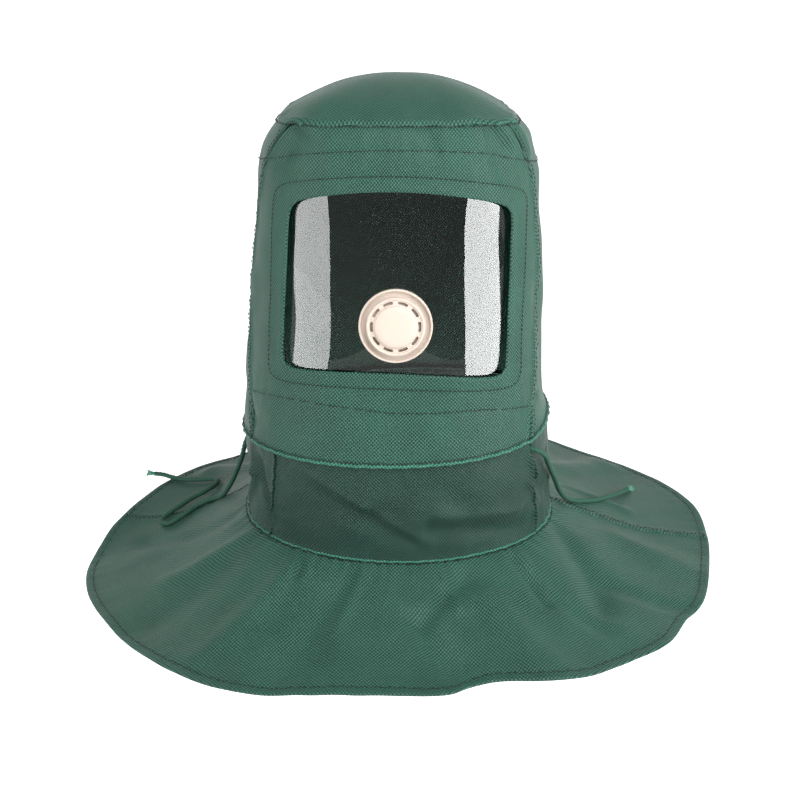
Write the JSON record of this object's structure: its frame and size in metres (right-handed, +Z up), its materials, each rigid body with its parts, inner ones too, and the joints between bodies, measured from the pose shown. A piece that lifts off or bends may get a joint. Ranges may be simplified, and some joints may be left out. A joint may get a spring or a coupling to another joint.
{
  "type": "sandblasting hood",
  "caption": "Green cloth sandblasting hood with a clear visor, a round exhaust valve, a neck band, a shoulder cape and two drawcord ends.",
  "frame": {"origin": "inside of the crown's top, where the wearer's head carries the hood", "axes": "+Z up, the wearer looks along -Y, +X at the wearer's left"},
  "size_m": [0.5028, 0.413, 0.3897],
  "materials": {
    "cloth": "coated oxford weave, green, slight sheen",
    "visor": "clear glossy plastic sheet",
    "valve": "moulded, satin, warm white",
    "cord": "twisted cord, dark green"
  },
  "bodies": {
    "root": {"crown_panel": "cloth", "hood_front_panel": "cloth", "hood_back_panel": "cloth", "neck_band_front": "cloth", "neck_band_back": "cloth", "cape_front": "cloth", "cape_back": "cloth", "visor": "visor", "valve_body": "valve", "valve_cap": "valve", "cord_left": "cord", "cord_right": "cord"}
  },
  "joints": []
}
